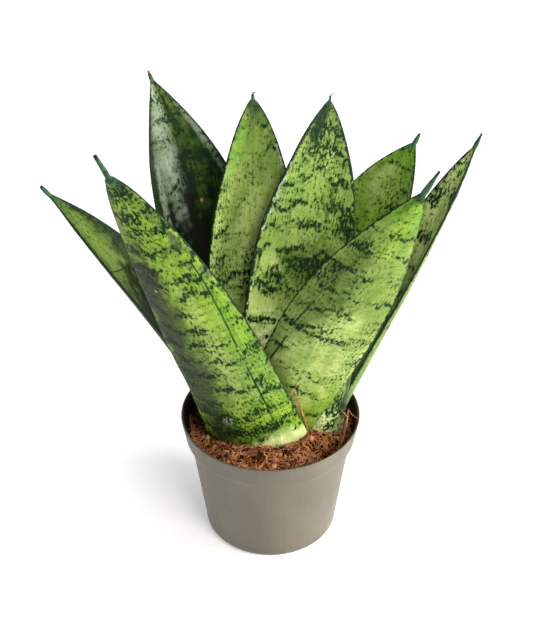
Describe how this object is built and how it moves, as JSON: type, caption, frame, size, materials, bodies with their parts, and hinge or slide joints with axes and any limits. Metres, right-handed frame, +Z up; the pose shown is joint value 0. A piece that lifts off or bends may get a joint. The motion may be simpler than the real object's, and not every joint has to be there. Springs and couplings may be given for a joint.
{
  "type": "potted snake plant",
  "caption": "Snake plant with broad, pointed, mottled green leaves rising from coir mix in a plain round tapered nursery pot.",
  "frame": {"origin": "centre of the pot's flat underside, on the surface that the pot stands on", "axes": "+Z up along the pot's axis, -Y towards the front of the plant, +X to the right as seen from the front"},
  "size_m": [0.2797, 0.15, 0.3286],
  "materials": {
    "pot_plastic": "matte",
    "coir": "matte",
    "rhizome_skin": "matte",
    "leaf_left": "satin",
    "leaf_front_left": "satin",
    "leaf_back_left": "satin",
    "leaf_inner_left": "satin",
    "leaf_centre": "satin",
    "leaf_back_right": "satin",
    "leaf_right": "satin",
    "leaf_front_right": "satin",
    "leaf_short_right": "satin"
  },
  "bodies": {
    "root": {"pot": "pot_plastic", "potting_mix": "coir", "rhizome": "rhizome_skin", "leaf_left": "leaf_left", "leaf_front_left": "leaf_front_left", "leaf_back_left": "leaf_back_left", "leaf_inner_left": "leaf_inner_left", "leaf_centre": "leaf_centre", "leaf_back_right": "leaf_back_right", "leaf_right": "leaf_right", "leaf_front_right": "leaf_front_right", "leaf_short_right": "leaf_short_right"}
  },
  "joints": []
}
